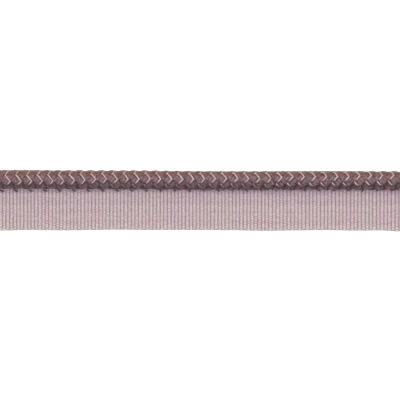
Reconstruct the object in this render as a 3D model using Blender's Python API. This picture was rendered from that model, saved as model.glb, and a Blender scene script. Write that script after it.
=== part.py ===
"""Flanged cord trimming: a round eight-strand braid sewn along one edge of a ribbed tape.

A straight cut length lies on its tape. X runs along the cord, Y runs across the tape
towards the cord, and Z is up from the surface on which the tape rests. The origin is the
centre of the underside. All sizes are in metres.
"""

import math

import bmesh
import bpy

# Whole trimming
CUT_LENGTH = 0.1524
FLANGE_WIDTH = 0.0127  # tape that shows beside the cord
PIECE_GAP = 0.0003  # between the cord and the tape that carries it

# Braided cord
CORD_DIAMETER = 0.0062  # over the crests of the strands
BRAID_COLUMNS = 8  # rows of diamonds round the cord, one for each strand
BRAID_REPEAT = 0.003460  # along the cord, from one diamond to the next in a row
REPEAT_GROWTH = 0.00192  # how much longer each repeat is than the one before it
BRAID_START = 0.00142  # where the middle repeat lies, off the middle of the length
BRAID_RELIEF = 0.00048  # from a diamond's crest to the crevice round it
STEPS_ROUND = 2 * BRAID_COLUMNS
STEPS_PER_REPEAT = 4

# Ribbed tape
TAPE_THICKNESS = 0.0010  # over the ribs
TAPE_UNDER_CORD = 0.0043  # tape that the cord covers
RIB_COUNT = 132
RIB_DEPTH = 0.00022  # of the groove between two ribs, on each face
RIB_FLAT_SHARE = 0.44  # of the rib's pitch, flat along its crest
SEAM_SETBACK = 0.0005  # the tape starts to dip this far outside the cord
SEAM_DIP = 0.00015  # how far the seam presses the tape in under the cord
EDGE_WANDER = 0.00010  # how far the tape's outer edge strays from straight
EDGE_WANDER_LENGTH = 0.051
EDGE_WANDER_START = 0.0105

# Places worked out from the sizes above
CORD_RADIUS = CORD_DIAMETER / 2
TOTAL_WIDTH = FLANGE_WIDTH + CORD_DIAMETER
CORD_Y = TOTAL_WIDTH / 2 - CORD_RADIUS
CORD_Z = TAPE_THICKNESS + PIECE_GAP + CORD_RADIUS
TAPE_OUTER_Y = -TOTAL_WIDTH / 2
SEAM_Y = CORD_Y - CORD_RADIUS - SEAM_SETBACK
TAPE_INNER_Y = CORD_Y - CORD_RADIUS + TAPE_UNDER_CORD
COLUMN_ANGLE = 2 * math.pi / BRAID_COLUMNS
SHORTEST_STEP = 0.00015  # a ring nearer than this to the cut end is left out
SHARP_DEG = 24  # the crevices and the cut ends keep a hard edge

# How the braid turns slowly as it lies along the tape
BRAID_LIE = [
    {"along": -0.0762, "turn_deg": 30.0},
    {"along": -0.0600, "turn_deg": 33.0},
    {"along": -0.0290, "turn_deg": 45.0},
    {"along": 0.0160, "turn_deg": 51.5},
    {"along": 0.0220, "turn_deg": 54.0},
    {"along": 0.0290, "turn_deg": 65.0},
    {"along": 0.0450, "turn_deg": 68.0},
    {"along": 0.0540, "turn_deg": 79.0},
    {"along": 0.0762, "turn_deg": 85.0},
]

CORD_COLOUR = (0.190, 0.118, 0.120, 1.0)
TAPE_COLOUR = (0.480, 0.375, 0.390, 1.0)


def clear_scene():
    for thing in list(bpy.data.objects):
        bpy.data.objects.remove(thing, do_unlink=True)


def cloth_material(name, colour):
    """A plain matt yarn finish."""
    material = bpy.data.materials.new(name)
    material.use_nodes = True
    shader = material.node_tree.nodes["Principled BSDF"]
    shader.inputs["Base Color"].default_value = colour
    shader.inputs["Roughness"].default_value = 0.75
    shader.inputs["Metallic"].default_value = 0.0
    return material


def add_object(name, mesh_builder, material):
    """Makes one named object from a closed bmesh, with its faces pointing out."""
    bmesh.ops.recalc_face_normals(mesh_builder, faces=mesh_builder.faces)
    mesh = bpy.data.meshes.new(name)
    mesh_builder.to_mesh(mesh)
    mesh_builder.free()
    mesh.materials.append(material)
    piece = bpy.data.objects.new(name, mesh)
    bpy.context.scene.collection.objects.link(piece)
    return piece


def braid_turn(along):
    """The angle of the braid's first column at a place along the cord, in radians."""
    for before, after in zip(BRAID_LIE, BRAID_LIE[1:]):
        if along <= after["along"]:
            break
    share = (along - before["along"]) / (after["along"] - before["along"])
    share = min(1.0, max(0.0, share))
    eased = share * share * (3 - 2 * share)
    turned = before["turn_deg"] + eased * (after["turn_deg"] - before["turn_deg"])
    return math.radians(turned)


def place_of_repeat(repeat):
    """Where a repeat, counted from the middle one, lies along the cord."""
    return BRAID_START + BRAID_REPEAT * repeat * (1 + REPEAT_GROWTH * repeat / 2)


def repeat_at(along):
    """The repeat at a place along the cord, the inverse of place_of_repeat."""
    half = REPEAT_GROWTH / 2
    distance = (along - BRAID_START) / BRAID_REPEAT
    return (math.sqrt(1 + 4 * half * distance) - 1) / (2 * half)


def braid_height(column, repeat):
    """1 on a diamond's crest and 0 in the crevices where two strands cross."""
    falling_strand = column / 2 + repeat
    rising_strand = column / 2 - repeat
    dome = math.cos(math.pi * falling_strand) * math.cos(math.pi * rising_strand)
    return math.sqrt(abs(dome))


def cord_ring(builder, repeat, along):
    """One ring of points round the cord, raised where a strand crosses over."""
    ring = []
    for step in range(STEPS_ROUND):
        column = step * BRAID_COLUMNS / STEPS_ROUND
        crevice = CORD_RADIUS - BRAID_RELIEF
        radius = crevice + BRAID_RELIEF * braid_height(column, repeat)
        angle = column * COLUMN_ANGLE + braid_turn(along)
        y = CORD_Y + radius * math.sin(angle)
        z = CORD_Z + radius * math.cos(angle)
        ring.append(builder.verts.new((along, y, z)))
    return ring


def ring_places():
    """Ring numbers, repeats and places from one cut end of the cord to the other."""
    end = CUT_LENGTH / 2
    first = math.ceil(repeat_at(-end) * STEPS_PER_REPEAT)
    last = math.floor(repeat_at(end) * STEPS_PER_REPEAT)
    places = [(first - 1, repeat_at(-end), -end)]
    for number in range(first, last + 1):
        repeat = number / STEPS_PER_REPEAT
        along = place_of_repeat(repeat)
        if end - abs(along) > SHORTEST_STEP:
            places.append((number, repeat, along))
    places.append((last + 1, repeat_at(end), end))
    return places


def build_cord(material):
    """The braid as one solid. Its triangles are split along the crevices."""
    builder = bmesh.new()
    places = ring_places()
    rings = [cord_ring(builder, repeat, along) for _, repeat, along in places]
    for (number, _, _), ring, following in zip(places, rings, rings[1:]):
        for step in range(STEPS_ROUND):
            beside = (step + 1) % STEPS_ROUND
            corners = [ring[step], ring[beside], following[beside], following[step]]
            if (step - number) % 2:
                corners = corners[1:] + corners[:1]
            builder.faces.new((corners[0], corners[1], corners[2]))
            builder.faces.new((corners[0], corners[2], corners[3]))
    builder.faces.new(rings[0])
    builder.faces.new(rings[-1])
    cord = add_object("braided_cord", builder, material)
    cord.data.shade_smooth()
    cord.data.set_sharp_from_angle(angle=math.radians(SHARP_DEG))
    return cord


def rib_stations():
    """Places along the tape, each with how deep the groove is there."""
    pitch = CUT_LENGTH / RIB_COUNT
    slope = pitch * (1 - RIB_FLAT_SHARE) / 2
    stations = []
    for rib in range(RIB_COUNT):
        start = -CUT_LENGTH / 2 + rib * pitch
        stations.append((start, RIB_DEPTH))
        stations.append((start + slope, 0.0))
        stations.append((start + pitch - slope, 0.0))
    stations.append((CUT_LENGTH / 2, RIB_DEPTH))
    return stations


def tape_section(builder, along, groove):
    """The tape's section across its width, dipped in where it runs under the cord."""
    turn = 2 * math.pi * (along - EDGE_WANDER_START) / EDGE_WANDER_LENGTH
    outer = TAPE_OUTER_Y + EDGE_WANDER * (1 + math.sin(turn)) / 2
    low = groove
    high = TAPE_THICKNESS - groove
    outline = [
        (outer, low),
        (outer, high),
        (SEAM_Y, high),
        (TAPE_INNER_Y, high - SEAM_DIP),
        (TAPE_INNER_Y, low),
    ]
    return [builder.verts.new((along, y, z)) for y, z in outline]


def build_tape(material):
    """The woven tape as one flat strip with ribs across it, on both faces."""
    builder = bmesh.new()
    sections = [tape_section(builder, *station) for station in rib_stations()]
    for section, following in zip(sections, sections[1:]):
        for point in range(len(section)):
            beside = (point + 1) % len(section)
            builder.faces.new(
                (section[point], section[beside], following[beside], following[point])
            )
    builder.faces.new(sections[0])
    builder.faces.new(sections[-1])
    return add_object("ribbed_tape", builder, material)


def main():
    clear_scene()
    build_cord(cloth_material("mauve_braid", CORD_COLOUR))
    build_tape(cloth_material("lilac_tape", TAPE_COLOUR))


main()
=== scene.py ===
import math

import bmesh
import bpy
import numpy as np
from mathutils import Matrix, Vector


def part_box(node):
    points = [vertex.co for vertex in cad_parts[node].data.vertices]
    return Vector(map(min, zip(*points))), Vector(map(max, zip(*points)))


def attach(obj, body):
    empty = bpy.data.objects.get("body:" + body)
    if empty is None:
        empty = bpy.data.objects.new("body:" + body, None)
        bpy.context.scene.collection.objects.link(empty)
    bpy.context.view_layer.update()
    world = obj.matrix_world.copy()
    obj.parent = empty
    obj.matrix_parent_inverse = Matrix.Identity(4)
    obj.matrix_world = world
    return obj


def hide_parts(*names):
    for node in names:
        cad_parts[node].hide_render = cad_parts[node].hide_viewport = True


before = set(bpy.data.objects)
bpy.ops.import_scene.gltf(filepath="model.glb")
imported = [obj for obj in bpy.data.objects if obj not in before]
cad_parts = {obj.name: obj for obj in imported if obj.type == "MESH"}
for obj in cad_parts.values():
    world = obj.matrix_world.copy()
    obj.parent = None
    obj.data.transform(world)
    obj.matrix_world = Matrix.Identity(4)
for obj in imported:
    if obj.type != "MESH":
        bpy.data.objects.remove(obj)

# Looks of a flanged cord: every yarn of the braid, the rib weave of the tape and the
# sewing between them. Metres, X along the cord, Y from the tape to the cord, Z up.
scene = bpy.context.scene
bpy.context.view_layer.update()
cordLow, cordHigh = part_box("braided_cord")
tapeLow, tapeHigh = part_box("ribbed_tape")
halfLength = cordHigh.x
cordMiddleY = (cordLow.y + cordHigh.y) / 2
cordMiddleZ = (cordLow.z + cordHigh.z) / 2
print("frame loaded, length", round(2 * halfLength, 4))


# Node trees, for shapes and for finishes alike

class Value:
    # one socket's value, so that sums on it read as plain Python
    def __init__(self, graph, socket):
        self.graph = graph
        self.socket = socket

    def __add__(self, other):
        return self.graph.maths("ADD", self, other)

    def __radd__(self, other):
        return self.graph.maths("ADD", other, self)

    def __sub__(self, other):
        return self.graph.maths("SUBTRACT", self, other)

    def __rsub__(self, other):
        return self.graph.maths("SUBTRACT", other, self)

    def __mul__(self, other):
        return self.graph.maths("MULTIPLY", self, other)

    def __rmul__(self, other):
        return self.graph.maths("MULTIPLY", other, self)

    def __truediv__(self, other):
        return self.graph.maths("DIVIDE", self, other)

    def __neg__(self):
        return self.graph.maths("MULTIPLY", self, -1.0)


class Graph:
    # a node tree that is filled from Python
    def __init__(self, tree):
        self.tree = tree

    def add(self, kind, settings=None, sockets=None):
        node = self.tree.nodes.new(kind)
        for name, setting in (settings or {}).items():
            if name == "stops":
                self.setStops(node.color_ramp, setting)
            else:
                setattr(node, name, setting)
        for name, value in (sockets or {}).items():
            self.feed(value, node.inputs[name])
        return node

    def feed(self, value, socket):
        if isinstance(value, Value):
            value = value.socket
        if isinstance(value, bpy.types.NodeSocket):
            self.tree.links.new(value, socket)
        else:
            socket.default_value = value

    def setStops(self, ramp, stops):
        while len(ramp.elements) < len(stops):
            ramp.elements.new(1.0)
        for element, (place, colour) in zip(ramp.elements, stops):
            element.position = place
            element.color = colour

    def maths(self, operation, *terms):
        node = self.add("ShaderNodeMath", {"operation": operation}, dict(enumerate(terms)))
        return Value(self, node.outputs[0])

    def value(self, kind, output, settings=None, sockets=None):
        return Value(self, self.add(kind, settings, sockets).outputs[output])

    def vector(self, x, y, z):
        return self.add("ShaderNodeCombineXYZ", None, {"X": x, "Y": y, "Z": z}).outputs[0]

    def parts(self, vector):
        node = self.add("ShaderNodeSeparateXYZ", None, {"Vector": vector})
        return [Value(self, socket) for socket in node.outputs]


def shapeTree(name, inputs):
    # a Geometry Nodes tree with named inputs
    tree = bpy.data.node_groups.new(name, "GeometryNodeTree")
    tree.interface.new_socket("Geometry", in_out="OUTPUT", socket_type="NodeSocketGeometry")
    for label, kind in inputs.items():
        tree.interface.new_socket(label, in_out="INPUT", socket_type="NodeSocket" + kind)
    graph = Graph(tree)
    given = graph.add("NodeGroupInput")
    return graph, {label: Value(graph, given.outputs[label]) for label in inputs}


def keep(graph, geometry, label, value, kind="FLOAT", domain="POINT"):
    node = graph.add(
        "GeometryNodeStoreNamedAttribute",
        {"data_type": kind, "domain": domain},
        {"Geometry": geometry, "Name": label},
    )
    graph.feed(value, node.inputs["Value"])
    return node.outputs["Geometry"]


def kept(graph, label, kind="FLOAT"):
    node = graph.add("GeometryNodeInputNamedAttribute", {"data_type": kind}, {"Name": label})
    return Value(graph, node.outputs["Attribute"])


def yarnLines(graph, points, copies):
    # straight lines of even points, each copy with its own number, and the share along it
    line = graph.add("GeometryNodeCurvePrimitiveLine", None, {"End": (1.0, 0.0, 0.0)})
    even = graph.add(
        "GeometryNodeResampleCurve", {"mode": "COUNT"}, {"Curve": line.outputs[0], "Count": points}
    )
    many = graph.add(
        "GeometryNodeDuplicateElements",
        {"domain": "SPLINE"},
        {"Geometry": even.outputs[0], "Amount": copies},
    )
    lines = keep(graph, many.outputs["Geometry"], "yarn", many.outputs["Duplicate Index"], domain="CURVE")
    share = graph.value("GeometryNodeSplineParameter", "Factor")
    return lines, kept(graph, "yarn"), share


def place(graph, geometry, position):
    node = graph.add(
        "GeometryNodeSetPosition", None, {"Geometry": geometry, "Position": position}
    )
    return node.outputs[0]


def sweep(graph, curves, sides, scale, wide=1.0, high=1.0):
    # a tube along the curves, that remembers how far along and which way round it is
    ring = graph.add(
        "GeometryNodeCurvePrimitiveCircle", {"mode": "RADIUS"}, {"Resolution": sides, "Radius": 1.0}
    )
    around = graph.add("GeometryNodeInputPosition").outputs[0]
    profile = keep(graph, ring.outputs["Curve"], "ring", around, "FLOAT_VECTOR")
    if wide != 1.0 or high != 1.0:
        profile = graph.add(
            "GeometryNodeTransform", None, {"Geometry": profile, "Scale": (wide, high, 1.0)}
        ).outputs[0]
    length = graph.value("GeometryNodeSplineParameter", "Length")
    curves = keep(graph, curves, "along", length)
    tube = graph.add(
        "GeometryNodeCurveToMesh",
        None,
        {"Curve": curves, "Profile Curve": profile, "Scale": scale, "Fill Caps": True},
    )
    return tube.outputs[0]


def finishTree(graph, geometry, material):
    smooth = graph.add("GeometryNodeSetShadeSmooth", None, {"Geometry": geometry})
    real = graph.add("GeometryNodeRealizeInstances", None, {"Geometry": smooth.outputs[0]})
    coloured = graph.add(
        "GeometryNodeSetMaterial", None, {"Geometry": real.outputs[0], "Material": material}
    )
    out = graph.add("NodeGroupOutput")
    graph.feed(coloured.outputs[0], out.inputs[0])


def grow(name, tree, values):
    # runs a tree and keeps what it makes as a plain mesh, with its attributes
    piece = bpy.data.objects.new(name, bpy.data.meshes.new(name))
    scene.collection.objects.link(piece)
    modifier = piece.modifiers.new("shape", "NODES")
    modifier.node_group = tree
    for item in tree.interface.items_tree:
        if item.in_out == "INPUT":
            modifier[item.identifier] = values[item.name]
    depsgraph = bpy.context.evaluated_depsgraph_get()
    evaluated = piece.evaluated_get(depsgraph)
    mesh = bpy.data.meshes.new_from_object(
        evaluated, preserve_all_data_layers=True, depsgraph=depsgraph
    )
    piece.modifiers.remove(modifier)
    piece.data = mesh
    mesh.name = name
    return piece


def reshape(piece, rule):
    # moves every point of a mesh by a rule on arrays of x, y and z, then turns its faces out
    mesh = piece.data
    flat = np.empty(len(mesh.vertices) * 3)
    mesh.vertices.foreach_get("co", flat)
    x, y, z = rule(*flat.reshape(-1, 3).T)
    mesh.vertices.foreach_set("co", np.stack([x, y, z], axis=1).ravel())
    builder = bmesh.new()
    builder.from_mesh(mesh)
    bmesh.ops.recalc_face_normals(builder, faces=builder.faces)
    builder.to_mesh(mesh)
    builder.free()
    mesh.update()


# The waves that a wander adds up: pace, offset and share
wanderWaves = [(1.0, 1.7, 1.0), (1.73, 2.9, 0.7), (2.91, 4.3, 0.5)]


def wander(along, seed, wavelength):
    # a smooth wander between -1 and 1, the same on each run
    turn = 2 * np.pi * along / wavelength
    total = sum(share * np.sin(pace * turn + offset * seed) for pace, offset, share in wanderWaves)
    return total / sum(share for _, _, share in wanderWaves)


def easedBetween(along, places, key):
    # a value that eases from one listed place to the next
    value = np.full_like(along, places[0][key])
    for before, after in zip(places, places[1:]):
        share = np.clip((along - before["along"]) / (after["along"] - before["along"]), 0.0, 1.0)
        value += share * share * (3 - 2 * share) * (after[key] - before[key])
    return value


# Finishes

def newMaterial(name, rough, shine):
    material = bpy.data.materials.new(name)
    material.use_nodes = True
    graph = Graph(material.node_tree)
    shader = material.node_tree.nodes["Principled BSDF"]
    shader.inputs["Roughness"].default_value = rough
    shader.inputs["Specular IOR Level"].default_value = shine
    return material, graph, shader


def attribute(graph, label, output="Fac"):
    return graph.value("ShaderNodeAttribute", output, {"attribute_name": label})


def clamped(value):
    value.socket.node.use_clamp = True
    return value


def blendColours(graph, factor, first, second, way="MIX"):
    node = graph.add("ShaderNodeMix", {"data_type": "RGBA", "blend_type": way}, {"Factor": factor})
    graph.feed(first, node.inputs[6])
    graph.feed(second, node.inputs[7])
    return node.outputs[2]


# Shared by every yarn
yarnShades = {
    "toneStep": 1.37,  # from one yarn's place in the noise to the next one's
    "patchContrast": 3.0,  # between the two tints
    "patchOwn": 0.4,  # how much of a yarn's own tone is in its tint
    "footStart": 3.3,  # the cord's painted foot shade is full up to a third of the way across
    "footFall": 6.7,  # and gone halfway across
    "fibreOffset": 37.0,  # so that no two yarns have the same fibres
    "plyHeight": 0.35,  # in the bump, where a fibre is 1
}


def yarnFinish(name, look):
    # twisted yarn: plies and fibres wind round it, and each yarn and stretch has its own tone; painted
    # shade lies between the plies and in the crevices, and painted light and shade across the piece where
    # its look has a ramp
    material, graph, shader = newMaterial(name, look["rough"], look["shine"])
    ring = attribute(graph, "ring", "Vector")
    across, up, _ = graph.parts(ring)
    along = attribute(graph, "along")
    turned = graph.maths("ARCTAN2", up, across) + along * (2 * math.pi / look["twistLength"])
    ply = graph.maths("SINE", turned * look["plies"])
    number = attribute(graph, "yarn") * yarnShades["toneStep"] + look["seed"]
    own = graph.value("ShaderNodeTexWhiteNoise", "Value", {"noise_dimensions": "1D"}, {"W": number})
    spot = graph.add("ShaderNodeTexCoord").outputs["Object"]
    mottle = graph.value(
        "ShaderNodeTexNoise", "Fac", None, {"Vector": spot, "Scale": look["mottleScale"], "Detail": 2.0}
    )
    spread = (own - 0.5) * look["ownTone"] + (mottle - 0.5) * look["mottle"]
    base = blendColours(graph, clamped(spread + 0.5), look["colourA"], look["colourB"])
    patches = graph.value(
        "ShaderNodeTexNoise", "Fac", None, {"Vector": spot, "Scale": look["patchScale"], "Detail": 1.0}
    )
    patch = (patches - 0.5) * yarnShades["patchContrast"] + (own - 0.5) * yarnShades["patchOwn"]
    tint = blendColours(graph, clamped(patch + 0.5), look["tintA"], look["tintB"])
    base = blendColours(graph, 1.0, base, tint, "MULTIPLY")
    depth = attribute(graph, "level")
    # painted light and shade across the piece, by its place in Y, from the look's ramp
    if "across" in look:
        low, high, stops = look["across"]
        share = (graph.parts(spot)[1] - low) / (high - low)
        ramp = graph.add("ShaderNodeValToRGB", {"stops": stops}, {"Fac": share})
        base = blendColours(graph, 1.0, base, ramp.outputs["Color"], "MULTIPLY")
        # painted shade: the crevices darken more on the cord's foot flank
        foot = clamped(yarnShades["footStart"] - share * yarnShades["footFall"])
        depth = depth - foot * look.get("footShadeDepth", 0.0)
    level = graph.value(
        "ShaderNodeMapRange",
        "Result",
        {"interpolation_type": "SMOOTHSTEP"},
        {"Value": depth, "From Min": look["deepLevel"], "From Max": look["openLevel"]},
    )
    # painted shade in the grooves between the plies
    shade = 1.0 - (0.5 - 0.5 * ply) * look["plyShade"]
    base = blendColours(graph, 1.0, base, graph.vector(shade, shade, shade), "MULTIPLY")
    # painted shade in crevices and grooves, darkest where the yarn lies lowest
    creviceShade = blendColours(graph, level, look["creviceShadeColour"], (1.0, 1.0, 1.0, 1.0))
    base = blendColours(graph, 1.0, base, creviceShade, "MULTIPLY")
    graph.feed(base, shader.inputs["Base Color"])
    wound = graph.vector(
        graph.maths("SINE", turned),
        graph.maths("COSINE", turned),
        along * look["fibreRun"] + own * yarnShades["fibreOffset"],
    )
    fibre = graph.value(
        "ShaderNodeTexNoise", "Fac", None, {"Vector": wound, "Scale": look["fibres"], "Detail": 2.0}
    )
    height = ply * yarnShades["plyHeight"] + fibre
    bump = graph.add(
        "ShaderNodeBump",
        None,
        {"Strength": look["bump"], "Distance": look["bumpDepth"], "Height": height},
    )
    graph.feed(bump.outputs["Normal"], shader.inputs["Normal"])
    return material


# Painted light and shade across the cord: painted shade, plum, at its foot by the tape, which is 0 here,
# painted warm light, browner, at its outer flank, 1, and lighter or darker bands between
mauveLightAndShadeAcross = [
    (0.05, (1.0, 0.86, 1.0, 1.0)),
    (0.10, (0.92, 0.79, 0.93, 1.0)),
    (0.20, (0.71, 0.54, 0.66, 1.0)),
    (0.30, (1.0, 0.98, 1.0, 1.0)),
    (0.41, (0.82, 0.80, 0.93, 1.0)),
    (0.50, (0.92, 0.87, 1.0, 1.0)),
    (0.62, (1.0, 0.94, 1.0, 1.0)),
    (0.72, (0.87, 0.655, 0.61, 1.0)),
    (0.84, (0.70, 0.45, 0.345, 1.0)),
    (0.92, (0.67, 0.50, 0.46, 1.0)),
    (0.97, (0.84, 0.72, 0.75, 1.0)),
]
# The same painted light and shade for the pale threads: darkest at the foot and at the outer edge
paleLightAndShadeAcross = [
    (0.08, (0.27, 0.23, 0.27, 1.0)),
    (0.24, (0.36, 0.31, 0.35, 1.0)),
    (0.31, (0.88, 0.82, 0.85, 1.0)),
    (0.46, (0.84, 0.79, 0.81, 1.0)),
    (0.62, (0.94, 0.90, 0.91, 1.0)),
    (0.76, (0.84, 0.75, 0.73, 1.0)),
    (0.89, (0.80, 0.69, 0.63, 1.0)),
    (0.96, (0.38, 0.30, 0.27, 1.0)),
]
# Painted light and shade across the tape from its outer edge, in bands, with painted plum bounce light from
# the cord next to it
lilacLightAndShadeAcross = [
    (0.0, (0.79, 0.87, 0.85, 1.0)),
    (0.04, (0.745, 0.77, 0.765, 1.0)),
    (0.10, (0.76, 0.76, 0.76, 1.0)),
    (0.22, (0.79, 0.79, 0.79, 1.0)),
    (0.55, (0.77, 0.77, 0.77, 1.0)),
    (0.64, (0.815, 0.81, 0.84, 1.0)),
    (0.70, (0.785, 0.75, 0.81, 1.0)),
    (0.73, (0.86, 0.80, 0.88, 1.0)),
    (0.755, (1.0, 0.93, 1.0, 1.0)),
]

mauveLook = {
    "across": (cordLow.y, cordHigh.y, mauveLightAndShadeAcross),
    "tintA": (1.10, 0.95, 0.97, 1.0),
    "tintB": (0.95, 1.03, 0.93, 1.0),
    "patchScale": 300.0,
    "ownTone": 0.9,
    "mottle": 4.2,
    "deepLevel": 0.0,  # painted shade is darkest here, where the yarn goes under
    "openLevel": 0.60,
    "creviceShadeColour": (0.36, 0.30, 0.35, 1.0),
    "footShadeDepth": 0.5,  # painted shade: the crevices look that much deeper on the flank that faces the tape
    "colourA": (0.058, 0.034, 0.049, 1.0),
    "colourB": (0.328, 0.209, 0.220, 1.0),
    "rough": 0.5,
    "shine": 0.6,
    "plies": 4.0,
    "twistLength": 0.0019,  # of one whole turn
    "plyShade": 0.40,
    "mottleScale": 2300.0,
    "fibres": 3.0,
    "fibreRun": 250.0,
    "bump": 0.8,
    "bumpDepth": 0.00006,
    "seed": 3.1,
}
paleLook = {
    "across": (cordLow.y, cordHigh.y, paleLightAndShadeAcross),
    "tintA": (1.05, 0.97, 0.97, 1.0),
    "tintB": (0.97, 1.02, 0.94, 1.0),
    "patchScale": 300.0,
    "ownTone": 0.9,
    "mottle": 3.2,
    "deepLevel": -0.2,  # painted shade is darkest here, where the yarn goes under
    "openLevel": 0.45,
    "creviceShadeColour": (0.56, 0.50, 0.52, 1.0),
    "colourA": (0.49, 0.395, 0.437, 1.0),
    "colourB": (0.81, 0.69, 0.735, 1.0),
    "rough": 0.5,
    "shine": 0.6,
    "plies": 3.0,
    "twistLength": 0.0016,
    "plyShade": 0.18,
    "mottleScale": 900.0,
    "fibres": 3.0,
    "fibreRun": 250.0,
    "bump": 0.8,
    "bumpDepth": 0.00006,
    "seed": 5.7,
}
tapeLook = {
    "across": (tapeLow.y, tapeHigh.y, lilacLightAndShadeAcross),
    "tintA": (1.01, 0.98, 1.02, 1.0),
    "tintB": (0.98, 1.02, 0.97, 1.0),
    "patchScale": 160.0,
    "ownTone": 0.25,
    "mottle": 2.0,
    "deepLevel": 0.2,  # painted shade is darkest here, in the grooves between the ribs
    "openLevel": 0.85,
    "creviceShadeColour": (0.64, 0.56, 0.60, 1.0),
    "colourA": (0.477, 0.378, 0.396, 1.0),
    "colourB": (0.789, 0.646, 0.672, 1.0),
    "rough": 0.7,
    "shine": 0.3,
    "plies": 3.0,
    "twistLength": 0.0014,
    "plyShade": 0.22,
    "mottleScale": 2000.0,
    "fibres": 3.0,
    "fibreRun": 250.0,
    "bump": 0.7,
    "bumpDepth": 0.00004,
    "seed": 8.3,
}
threadLook = {
    "tintA": (1.0, 1.0, 1.0, 1.0),
    "tintB": (1.0, 1.0, 1.0, 1.0),
    "patchScale": 300.0,
    "ownTone": 0.9,
    "mottle": 1.0,
    "deepLevel": -2.0,  # below any level, so a stitch gets no painted shade anywhere
    "openLevel": -1.0,
    "creviceShadeColour": (1.0, 1.0, 1.0, 1.0),
    "colourA": (0.035, 0.014, 0.024, 1.0),
    "colourB": (0.060, 0.026, 0.040, 1.0),
    "rough": 0.45,
    "shine": 0.5,
    "plies": 3.0,
    "twistLength": 0.0016,
    "plyShade": 0.3,
    "mottleScale": 600.0,
    "fibres": 3.0,
    "fibreRun": 250.0,
    "bump": 0.5,
    "bumpDepth": 0.00003,
    "seed": 1.9,
}
mauve = yarnFinish("mauveYarn", mauveLook)
pale = yarnFinish("paleYarn", paleLook)
lilac = yarnFinish("lilacTapeYarn", tapeLook)
plum = yarnFinish("plumSewingThread", threadLook)
print("finishes made")


# Braid

braid = {
    "strandsEachWay": 4,
    "columns": 8,
    "repeat": 0.003460,  # at the middle of the length
    "growth": 0.00192,  # how much longer each repeat is than the one before it
    "start": 0.00142,  # where the middle repeat lies
    "meanRadius": 0.00252,
    "weaveDepth": 0.00040,  # out to over, in to under
    "dip": 0.00006,  # how far it lies below an even wave, between over and under
    "steepness": 0.3,  # of the wave where it dives, 0 for an even wave
    "crown": 0.00010,  # how far a strand's edges lie below its middle
    "yarnsPerStrand": 7,  # with the pale one
    "palePlace": -0.455,  # across a strand that runs from -0.5 to 0.5
    "firstPlace": -0.33,
    "lastPlace": 0.43,
    "yarnRadius": 0.00019,
    "paleRadius": 0.00013,
    # the pale threads of the falling (-1) and the rising (1) strands show less on the flank
    # that faces the tape, the inner one: there they dive sooner and lie deeper
    "innerShift": {-1.0: 0.32, 1.0: 0.30},  # in shares of a crossing
    "innerProud": {-1.0: 0.00002, 1.0: -0.00008},
    "outerShift": {-1.0: 0.10, 1.0: 0.12},
    "outerProud": {-1.0: 0.00011, 1.0: 0.00006},
    "changeFrom": {-1.0: -0.45, 1.0: 0.15},  # -1 at the tape, 0 on the crest, 1 at the outer flank
    "changeOver": 0.32,
    "turnDeg": 54.0,  # about how far braidLie turns the middle
    "turnGrowthDeg": 1.34,  # and how much further each repeat
    "pointsPerCrossing": 6,
    "sides": 6,
    "unevenPlace": 0.44,  # sideways at most, in steps from one yarn to the next
    "unevenRadius": 0.00009,  # in or out at most
    "unevenPace": 0.9,  # per repeat
    "unevenYarnStep": 3.7,  # in the noise, from one yarn to the next
    "unevenStrandStep": 11.3,
    "unevenRows": (0.0, 40.0),  # one row moves a yarn sideways, the other in and out
    "risingSeed": 5.0,  # the falling strands start from 0
    "paleSeed": 0.5,  # added to its strand's
}

# How the braid turns slowly as it lies along the tape, nowhere over 9 degrees off the solid's
braidLie = [
    {"along": -0.0762, "turnDeg": 26.0},
    {"along": -0.0600, "turnDeg": 27.5},
    {"along": -0.0450, "turnDeg": 31.0},
    {"along": -0.0300, "turnDeg": 45.0},
    {"along": -0.0060, "turnDeg": 48.5},
    {"along": 0.0060, "turnDeg": 56.0},
    {"along": 0.0120, "turnDeg": 56.0},
    {"along": 0.0190, "turnDeg": 53.5},
    {"along": 0.0290, "turnDeg": 66.0},
    {"along": 0.0450, "turnDeg": 68.0},
    {"along": 0.0540, "turnDeg": 79.0},
    {"along": 0.0762, "turnDeg": 85.0},
]

# How far the cord strays towards the tape's outer edge, which is minus, or away from it
cordStray = [
    {"along": -0.0762, "by": 0.00014},
    {"along": -0.0550, "by": 0.00017},
    {"along": -0.0440, "by": 0.00010},
    {"along": -0.0210, "by": 0.00008},
    {"along": 0.0030, "by": -0.00009},
    {"along": 0.0165, "by": -0.00010},
    {"along": 0.0270, "by": -0.00004},
    {"along": 0.0420, "by": 0.00001},
    {"along": 0.0762, "by": -0.00005},
]


def placeOfRepeat(repeat):
    return braid["start"] + braid["repeat"] * repeat * (1 + braid["growth"] * repeat / 2)


def repeatAt(along):
    half = braid["growth"] / 2
    distance = (along - braid["start"]) / braid["repeat"]
    return (math.sqrt(1 + 4 * half * distance) - 1) / (2 * half)


def layCord(x, y, z):
    # an even straight braid, with x counted in repeats, becomes the one that lies on the tape
    along = np.clip(placeOfRepeat(x), -halfLength, halfLength)
    angle = np.arctan2(y, z) + np.radians(easedBetween(along, braidLie, "turnDeg"))
    middleY = cordMiddleY + easedBetween(along, cordStray, "by")
    radius = np.hypot(y, z)
    return along, middleY + radius * np.sin(angle), cordMiddleZ + radius * np.cos(angle)


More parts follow.
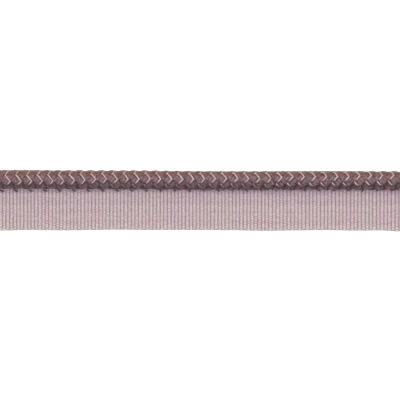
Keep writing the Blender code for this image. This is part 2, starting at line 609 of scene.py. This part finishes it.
def strandTree():
    graph, given = shapeTree(
        "strandYarns",
        {
            "Yarns": "Int",
            "Points": "Int",
            "Sides": "Int",
            "Strand": "Float",
            "Hand": "Float",
            "Over": "Float",
            "Shift": "Float",
            "Outer Shift": "Float",
            "First Place": "Float",
            "Place Step": "Float",
            "First Repeat": "Float",
            "Last Repeat": "Float",
            "Mean Radius": "Float",
            "Weave Depth": "Float",
            "Dip": "Float",
            "Crown": "Float",
            "Proud": "Float",
            "Outer Proud": "Float",
            "Turn": "Float",
            "Turn Growth": "Float",
            "Change From": "Float",
            "Change Over": "Float",
            "Yarn Radius": "Float",
            "Uneven Place": "Float",
            "Uneven Radius": "Float",
            "Seed": "Float",
            "Material": "Material",
        },
    )
    lines, yarn, share = yarnLines(graph, given["Points"], given["Yarns"])
    repeat = given["First Repeat"] + (given["Last Repeat"] - given["First Repeat"]) * share
    wanders = []
    for row in braid["unevenRows"]:
        line = yarn * braid["unevenYarnStep"] + given["Seed"] * braid["unevenStrandStep"] + row
        spot = graph.vector(repeat * braid["unevenPace"], line, 0.0)
        noise = graph.value(
            "ShaderNodeTexNoise",
            "Fac",
            {"noise_dimensions": "2D"},
            {"Vector": spot, "Scale": 1.0, "Detail": 1.0},
        )
        wanders.append(noise * 2.0 - 1.0)
    across = given["First Place"] + given["Place Step"] * (yarn + wanders[0] * given["Uneven Place"])
    number = given["Strand"] + across
    other = number + given["Hand"] * repeat * 2.0
    angle = (number + given["Hand"] * repeat) * (4 * math.pi / braid["columns"])
    flank = graph.maths("SINE", angle + given["Turn"] + given["Turn Growth"] * repeat)
    outer = clamped((flank - given["Change From"]) / given["Change Over"])
    shift = given["Shift"] + (given["Outer Shift"] - given["Shift"]) * outer
    proud = given["Proud"] + (given["Outer Proud"] - given["Proud"]) * outer
    wave = graph.maths("COSINE", (other - shift) * math.pi)
    wave = wave * (1.0 + braid["steepness"] - braid["steepness"] * wave * wave) * given["Over"]
    crowned = across * across * 4.0 * given["Crown"]
    radius = given["Mean Radius"] + given["Weave Depth"] * wave - given["Dip"] * (1.0 - wave * wave)
    radius = radius - crowned + proud + wanders[1] * given["Uneven Radius"]
    lines = keep(graph, lines, "level", (radius - given["Mean Radius"]) / given["Weave Depth"])
    where = graph.vector(
        repeat * braid["repeat"],
        radius * graph.maths("SINE", angle),
        radius * graph.maths("COSINE", angle),
    )
    tube = sweep(graph, place(graph, lines, where), given["Sides"], given["Yarn Radius"])
    finishTree(graph, tube, given["Material"])
    return graph.tree


firstRepeat = repeatAt(-halfLength)
lastRepeat = repeatAt(halfLength)
crossings = 2 * (lastRepeat - firstRepeat)
strandShared = {
    "Points": int(crossings * braid["pointsPerCrossing"]) + 1,
    "Sides": braid["sides"],
    "Place Step": (braid["lastPlace"] - braid["firstPlace"]) / (braid["yarnsPerStrand"] - 2),
    "First Repeat": firstRepeat,
    "Last Repeat": lastRepeat,
    "Mean Radius": braid["meanRadius"],
    "Weave Depth": braid["weaveDepth"],
    "Dip": braid["dip"],
    "Crown": braid["crown"],
    "Turn": math.radians(braid["turnDeg"]),
    "Turn Growth": math.radians(braid["turnGrowthDeg"]),
    "Change Over": braid["changeOver"],
    "Uneven Place": braid["unevenPlace"],
    "Uneven Radius": braid["unevenRadius"],
}
strandYarns = strandTree()


def layStrand(x, y, z):
    # a strand is grown along x in metres of the middle repeat
    return layCord(x / braid["repeat"], y, z)


def makeStrand(label, number, hand, seed):
    over = -hand * (-1.0) ** number
    bundle = grow(
        f"strand_{label}_{number + 1}",
        strandYarns,
        {
            **strandShared,
            "Yarns": braid["yarnsPerStrand"] - 1,
            "Strand": float(number),
            "Hand": hand,
            "Over": over,
            "Shift": 0.0,
            "Outer Shift": 0.0,
            "Change From": 0.0,
            "First Place": braid["firstPlace"],
            "Proud": 0.0,
            "Outer Proud": 0.0,
            "Yarn Radius": braid["yarnRadius"],
            "Seed": seed,
            "Material": mauve,
        },
    )
    edge = grow(
        f"pale_thread_{label}_{number + 1}",
        strandYarns,
        {
            **strandShared,
            "Yarns": 1,
            "Strand": float(number),
            "Hand": hand,
            "Over": over,
            "Shift": braid["innerShift"][hand],
            "Outer Shift": braid["outerShift"][hand],
            "Change From": braid["changeFrom"][hand],
            "First Place": braid["palePlace"],
            "Proud": braid["innerProud"][hand],
            "Outer Proud": braid["outerProud"][hand],
            "Yarn Radius": braid["paleRadius"],
            "Seed": seed + braid["paleSeed"],
            "Material": pale,
        },
    )
    for piece in (bundle, edge):
        reshape(piece, layStrand)
        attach(piece, "root")
        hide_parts("braided_cord")


for hand, label in ((-1.0, "falling"), (1.0, "rising")):
    for number in range(braid["strandsEachWay"]):
        makeStrand(label, number, hand, number + braid["risingSeed"] * (hand > 0))
print("braid made")


# Inside of the cord: the strands' inner plies, whose ends show at the cuts

inside = {
    "radius": 0.00202,
    "sides": 24,
    "sections": 60,
    "ends": 72,  # at each cut
    "endRadius": 0.00025,
    "endRise": 0.00016,
    "endSegments": 8,
    "endRings": 4,
    "endsReach": 0.98,  # of the radius
    "endsTurn": 2.39996,  # the golden angle, which spreads them evenly
}


def insideTree():
    graph, given = shapeTree(
        "innerPlies",
        {
            "Radius": "Float",
            "Sides": "Int",
            "Sections": "Int",
            "Half Length": "Float",
            "Ends": "Int",
            "End Radius": "Float",
            "End Rise": "Float",
            "Material": "Material",
        },
    )
    lines, _, share = yarnLines(graph, given["Sections"], 1)
    where = graph.vector((share * 2.0 - 1.0) * given["Half Length"], 0.0, 0.0)
    tube = sweep(graph, place(graph, lines, where), given["Sides"], given["Radius"])
    join = graph.add("GeometryNodeJoinGeometry")
    graph.feed(tube, join.inputs[0])
    for side in (-1.0, 1.0):
        index = graph.value("GeometryNodeInputIndex", "Index")
        angle = index * inside["endsTurn"] + side
        reach = graph.maths("SQRT", (index + 0.5) / given["Ends"]) * (given["Radius"] * inside["endsReach"])
        spot = graph.vector(
            given["Half Length"] * side,
            reach * graph.maths("SINE", angle),
            reach * graph.maths("COSINE", angle),
        )
        points = graph.add("GeometryNodePoints", None, {"Count": given["Ends"], "Position": spot})
        dome = graph.add(
            "GeometryNodeMeshUVSphere",
            None,
            {"Segments": inside["endSegments"], "Rings": inside["endRings"], "Radius": 1.0},
        )
        size = graph.vector(given["End Rise"], given["End Radius"], given["End Radius"])
        ends = graph.add(
            "GeometryNodeInstanceOnPoints",
            None,
            {"Points": points.outputs[0], "Instance": dome.outputs["Mesh"], "Scale": size},
        )
        graph.feed(ends.outputs[0], join.inputs[0])
    finishTree(graph, join.outputs[0], given["Material"])
    return graph.tree


innerPlies = grow(
    "inner_plies",
    insideTree(),
    {
        "Radius": inside["radius"],
        "Sides": inside["sides"],
        "Sections": inside["sections"],
        "Half Length": halfLength,
        "Ends": inside["ends"],
        "End Radius": inside["endRadius"],
        "End Rise": inside["endRise"],
        "Material": mauve,
    },
)
reshape(innerPlies, lambda x, y, z: (x, y + cordMiddleY, z + cordMiddleZ))
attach(innerPlies, "root")
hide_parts("braided_cord")


# Tape: fine ends along it go over one thick pick and under the next

tape = {
    "ribs": 132,
    "ends": 44,
    "edgeRoom": 0.00020,  # from the outermost end's middle to the tape's edge
    "endLift": 0.00037,  # an end's middle above and below the tape's middle
    "floatWidth": 0.000385,  # half the width of an end over a pick
    "crossWidth": 0.00020,  # and between two picks
    "endHeight": 0.00013,  # half the height
    "grooveSteepness": 0.095,  # gathers an end's points towards the grooves
    "floatFullness": 0.5,  # less than 1 makes a broad crest and a narrow groove
    "endPointsPerRib": 4,
    "endSides": 8,
    "placeUneven": 0.24,  # in shares of the spacing
    "liftUneven": 0.2,  # in shares of the lift
    "unevenPace": 0.8,  # per rib
    "unevenEndStep": 5.1,  # in the noise, from one end to the next
    "startRadius": 0.0001,  # any size does, the widths and heights above replace it
    "pickWidth": 0.00043,  # half the width, and half the height
    "pickHeight": 0.00024,
    "pickPoints": 16,
    "pickSides": 8,
    "turnShare": 0.34,  # of a pick's points, at its turn
    "turnSlim": 0.35,  # how much slimmer a pick is there
    "ribStretch": 0.386,  # per metre, how the ribs widen from left to right
    "ribUneven": 0.00007,
    "ribUnevenLength": 0.0047,
    "ribUnevenSeed": 3.0,
    "cutFade": 0.004,  # the ribs are even again this near a cut end
    "ribSlip": 0.00026,  # the ribs lie this much further left round one place
    "slipPlace": 0.026,
    "slipLength": 0.018,
}

# How far the tape's outer edge strays outwards, which is minus, or inwards
edgeStray = [
    {"along": -0.0762, "by": 0.0},
    {"along": -0.0625, "by": -0.00016},
    {"along": -0.0550, "by": 0.0},
    {"along": -0.0440, "by": -0.00009},
    {"along": -0.0255, "by": 0.00018},
    {"along": -0.0140, "by": 0.00006},
    {"along": -0.0020, "by": 0.00012},
    {"along": 0.0110, "by": 0.00005},
    {"along": 0.0215, "by": -0.00014},
    {"along": 0.0290, "by": 0.00001},
    {"along": 0.0390, "by": 0.00015},
    {"along": 0.0495, "by": 0.00003},
    {"along": 0.0575, "by": 0.00009},
    {"along": 0.0625, "by": -0.00022},
    {"along": 0.0762, "by": 0.0},
]
ribPitch = 2 * halfLength / tape["ribs"]
tapeMiddleZ = (tapeLow.z + tapeHigh.z) / 2
tapeMiddleY = (tapeLow.y + tapeHigh.y) / 2
tapeHalfWidth = (tapeHigh.y - tapeLow.y) / 2
endSpacing = 2 * (tapeHalfWidth - tape["edgeRoom"]) / (tape["ends"] - 1)


def layTape(x, y, z):
    # even ribs become the uneven ones that were woven, and the outer edge strays a little
    stretched = x + tape["ribStretch"] / 2 * (x * x - halfLength * halfLength)
    fade = np.clip((halfLength - np.abs(x)) / tape["cutFade"], 0.0, 1.0)
    slip = tape["ribSlip"] * np.exp(-(((x - tape["slipPlace"]) / tape["slipLength"]) ** 2))
    uneven = tape["ribUneven"] * wander(x, tape["ribUnevenSeed"], tape["ribUnevenLength"])
    along = np.clip(stretched + fade * (uneven - slip), -halfLength, halfLength)
    outward = np.clip((tapeMiddleY - y) / tapeHalfWidth, 0.0, 1.0)
    return along, y + outward * easedBetween(along, edgeStray, "by"), z


def endTree():
    graph, given = shapeTree(
        "tapeEnds",
        {
            "Ends": "Int",
            "Points": "Int",
            "Sides": "Int",
            "Half Length": "Float",
            "First Place": "Float",
            "Spacing": "Float",
            "Rib Pitch": "Float",
            "Over": "Float",
            "Middle": "Float",
            "Lift": "Float",
            "Float Width": "Float",
            "Cross Width": "Float",
            "Height": "Float",
            "Steepness": "Float",
            "Fullness": "Float",
            "Material": "Material",
        },
    )
    lines, end, share = yarnLines(graph, given["Points"], given["Ends"])
    along = (share * 2.0 - 1.0) * given["Half Length"]
    rib = (along + given["Half Length"]) / given["Rib Pitch"]
    along = along - graph.maths("SINE", rib * (2 * math.pi)) * given["Rib Pitch"] * given["Steepness"]
    wave = graph.maths("SINE", rib * math.pi)
    fuller = graph.maths("POWER", graph.maths("ABSOLUTE", wave), given["Fullness"])
    wave = graph.maths("SIGN", wave) * fuller * given["Over"]
    spot = graph.vector(rib * tape["unevenPace"], end * tape["unevenEndStep"] + given["Over"], 0.0)
    noise = graph.value(
        "ShaderNodeTexNoise", "Fac", {"noise_dimensions": "2D"}, {"Vector": spot, "Scale": 1.0}
    )
    uneven = noise - 0.5
    lift = given["Lift"] * wave * (1.0 + tape["liftUneven"] * uneven)
    across = given["First Place"] + given["Spacing"] * (end + uneven * tape["placeUneven"])
    centre = graph.vector(along, across, given["Middle"] + lift)
    lines = place(graph, lines, centre)
    lines = keep(graph, lines, "centre", centre, "FLOAT_VECTOR")
    lines = keep(graph, lines, "rise", wave * wave)
    lines = keep(graph, lines, "level", graph.maths("ABSOLUTE", wave))
    tube = sweep(graph, lines, given["Sides"], tape["startRadius"])
    ringY, ringZ, _ = graph.parts(kept(graph, "ring", "FLOAT_VECTOR"))
    x, y, z = graph.parts(kept(graph, "centre", "FLOAT_VECTOR"))
    rise = kept(graph, "rise")
    width = given["Cross Width"] + (given["Float Width"] - given["Cross Width"]) * rise
    tube = place(graph, tube, graph.vector(x, y + ringY * width, z + ringZ * given["Height"]))
    finishTree(graph, tube, given["Material"])
    return graph.tree


tapeEnds = endTree()


def makeEnds(name, first, over):
    piece = grow(
        name,
        tapeEnds,
        {
            "Ends": tape["ends"] // 2,
            "Points": tape["ribs"] * tape["endPointsPerRib"] + 1,
            "Sides": tape["endSides"],
            "Half Length": halfLength,
            "First Place": tapeLow.y + tape["edgeRoom"] + first * endSpacing,
            "Spacing": 2 * endSpacing,
            "Rib Pitch": ribPitch,
            "Over": over,
            "Middle": tapeMiddleZ,
            "Lift": tape["endLift"],
            "Float Width": tape["floatWidth"],
            "Cross Width": tape["crossWidth"],
            "Height": tape["endHeight"],
            "Steepness": tape["grooveSteepness"],
            "Fullness": tape["floatFullness"],
            "Material": lilac,
        },
    )
    reshape(piece, layTape)
    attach(piece, "root")
    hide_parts("ribbed_tape")
    return piece


def pickTree():
    graph, given = shapeTree(
        "tapePicks",
        {
            "Picks": "Float",
            "Points": "Int",
            "Sides": "Int",
            "Half Length": "Float",
            "Middle Y": "Float",
            "Middle Z": "Float",
            "Half Run": "Float",
            "Turn Share": "Float",
            "Rib Pitch": "Float",
            "Width": "Float",
            "Material": "Material",
        },
    )
    lines, _, share = yarnLines(graph, given["Points"], 1)
    count = share * (given["Picks"] - given["Turn Share"])
    pick = graph.maths("FLOOR", count)
    step = count - pick
    side = 1.0 - graph.maths("MODULO", pick, 2.0) * 2.0
    runShare = 1.0 - given["Turn Share"]
    run = graph.maths("MINIMUM", step / runShare, 1.0)
    turned = graph.maths("MAXIMUM", (step - runShare) / given["Turn Share"], 0.0)
    x = given["Rib Pitch"] * (pick + 1.0 - graph.maths("COSINE", turned * math.pi) * 0.5)
    x = x - given["Half Length"]
    bulge = graph.maths("SINE", turned * math.pi) * given["Rib Pitch"] * 0.5
    y = side * ((run * 2.0 - 1.0) * given["Half Run"] + bulge) + given["Middle Y"]
    slim = given["Width"] * (1.0 - tape["turnSlim"] * graph.maths("SINE", turned * math.pi))
    lines = place(graph, lines, graph.vector(x, y, given["Middle Z"]))
    level = graph.add("GeometryNodeSetCurveNormal", {"mode": "Z_UP"}, {"Curve": lines})
    flatness = tape["pickHeight"] / tape["pickWidth"]
    tube = sweep(graph, level.outputs[0], given["Sides"], slim, 1.0, flatness)
    finishTree(graph, tube, given["Material"])
    return graph.tree


oddEnds = makeEnds("tape_ends_odd", 0, 1.0)
evenEnds = makeEnds("tape_ends_even", 1, -1.0)
picks = grow(
    "tape_picks",
    pickTree(),
    {
        "Picks": float(tape["ribs"]),
        "Points": tape["ribs"] * tape["pickPoints"] + 1,
        "Sides": tape["pickSides"],
        "Half Length": halfLength,
        "Middle Y": tapeMiddleY,
        "Middle Z": tapeMiddleZ,
        "Half Run": tapeHalfWidth - ribPitch / 2 - tape["pickWidth"] * (1.0 - tape["turnSlim"]),
        "Turn Share": tape["turnShare"],
        "Rib Pitch": ribPitch,
        "Width": tape["pickWidth"],
        "Material": lilac,
    },
)
reshape(picks, layTape)
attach(picks, "root")
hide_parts("ribbed_tape")
print("tape woven")


# Sewing: overcast stitches at the foot of the cord

sewing = {
    "pitch": 0.00457,
    "first": -0.07186,
    "count": 33,
    "threadRadius": 0.00020,
    "points": 20,
    "sides": 6,
    "middleY": 0.00375,
    "middleZ": 0.00222,
    "reachY": {"left": 0.00100, "right": 0.00062},  # at the left cut and at the right one
    "reachZ": 0.00208,
    "lean": {"left": 0.00060, "right": -0.00020},
    "turnShare": 0.96,  # of a whole turn round the tape's edge
    "uneven": 0.00020,  # along the cord at most
    "reachUneven": 0.3,  # in shares of the reach
    "unevenStep": 3.3,  # in the noise, from one stitch to the next
    "unevenRow": 0.5,
}


def stitchTree():
    graph, given = shapeTree(
        "overcastStitches",
        {
            "Stitches": "Int",
            "Points": "Int",
            "Sides": "Int",
            "First": "Float",
            "Pitch": "Float",
            "Uneven": "Float",
            "Middle Y": "Float",
            "Middle Z": "Float",
            "Reach Left": "Float",
            "Reach Right": "Float",
            "Reach Z": "Float",
            "Lean Left": "Float",
            "Lean Right": "Float",
            "Radius": "Float",
            "Material": "Material",
        },
    )
    lines, stitch, share = yarnLines(graph, given["Points"], given["Stitches"])
    spot = graph.vector(stitch * sewing["unevenStep"], sewing["unevenRow"], 0.0)
    own = graph.value(
        "ShaderNodeTexNoise", "Fac", {"noise_dimensions": "2D"}, {"Vector": spot, "Scale": 1.0}
    )
    angle = share * (2 * math.pi * sewing["turnShare"])
    rise = -graph.maths("COSINE", angle)
    x = given["First"] + given["Pitch"] * stitch + (own * 2.0 - 1.0) * given["Uneven"]
    rightward = stitch / (given["Stitches"] - 1.0)
    x = x - (given["Lean Left"] + (given["Lean Right"] - given["Lean Left"]) * rightward) * rise
    reach = given["Reach Left"] + (given["Reach Right"] - given["Reach Left"]) * rightward
    reach = reach * (1.0 + sewing["reachUneven"] * (own - 0.5))
    y = given["Middle Y"] - graph.maths("SINE", angle) * reach
    z = given["Middle Z"] + given["Reach Z"] * rise
    lines = place(graph, lines, graph.vector(x, y, z))
    tube = sweep(graph, lines, given["Sides"], given["Radius"])
    finishTree(graph, tube, given["Material"])
    return graph.tree


stitches = grow(
    "overcast_stitches",
    stitchTree(),
    {
        "Stitches": sewing["count"],
        "Points": sewing["points"],
        "Sides": sewing["sides"],
        "First": sewing["first"],
        "Pitch": sewing["pitch"],
        "Uneven": sewing["uneven"],
        "Middle Y": sewing["middleY"],
        "Middle Z": sewing["middleZ"],
        "Reach Left": sewing["reachY"]["left"],
        "Reach Right": sewing["reachY"]["right"],
        "Reach Z": sewing["reachZ"],
        "Lean Left": sewing["lean"]["left"],
        "Lean Right": sewing["lean"]["right"],
        "Radius": sewing["threadRadius"],
        "Material": plum,
    },
)
reshape(stitches, lambda x, y, z: (np.clip(x, -halfLength, halfLength), y, z))
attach(stitches, "root")
print("stitches sewn")


# Floor, light and camera

studio = {
    "floorHalf": 1.5,
    "floorColour": (0.93, 0.93, 0.93, 1.0),
    "floorRough": 0.9,
    "floorShine": 0.3,
    "worldColour": (0.95, 0.97, 1.0, 1.0),
    "worldStrength": 0.08,
    "lights": [
        {
            "name": "overhead",
            "from": (0.0, 0.10, 0.90),
            "size": 0.85,
            "watts": 16.0,
            "colour": (1.0, 0.99, 0.99),
        },
        {
            "name": "warmSide",
            "from": (0.0, 0.78, 0.45),
            "size": 0.35,
            "watts": 2.6,
            "colour": (1.0, 0.85, 0.55),
        },
    ],
    "cameraHeight": 0.7066,
    "cameraY": 0.0001,
    "cameraRollDeg": 0.1,
    "lens": 200.0,
    "sensorWidth": 36.0,
    "clipStart": 0.01,
}

floorMesh = bpy.data.meshes.new("floor")
half = studio["floorHalf"]
floorMesh.from_pydata(
    [(-half, -half, 0.0), (half, -half, 0.0), (half, half, 0.0), (-half, half, 0.0)], [], [(0, 1, 2, 3)]
)
floor = bpy.data.objects.new("floor", floorMesh)
scene.collection.objects.link(floor)
floorFinish, _, floorShader = newMaterial("paleFloor", studio["floorRough"], studio["floorShine"])
floorShader.inputs["Base Color"].default_value = studio["floorColour"]
floorMesh.materials.append(floorFinish)

for light in studio["lights"]:
    lamp = bpy.data.lights.new(light["name"], "AREA")
    lamp.shape = "DISK"
    lamp.size = light["size"]
    lamp.energy = light["watts"]
    lamp.color = light["colour"]
    stand = bpy.data.objects.new(light["name"], lamp)
    stand.location = light["from"]
    stand.rotation_euler = (-Vector(light["from"])).to_track_quat("-Z", "Y").to_euler()
    scene.collection.objects.link(stand)

world = bpy.data.worlds.new("studio")
world.use_nodes = True
sky = world.node_tree.nodes["Background"]
sky.inputs["Color"].default_value = studio["worldColour"]
sky.inputs["Strength"].default_value = studio["worldStrength"]
scene.world = world
scene.view_settings.view_transform = "Standard"

camera = bpy.data.objects.new("camera", bpy.data.cameras.new("camera"))
camera.data.lens = studio["lens"]
camera.data.sensor_width = studio["sensorWidth"]
camera.location = (0.0, studio["cameraY"], studio["cameraHeight"])
camera.rotation_euler = (0.0, 0.0, math.radians(studio["cameraRollDeg"]))
camera.data.clip_start = studio["clipStart"]
scene.collection.objects.link(camera)
scene.camera = camera

print("studio ready")
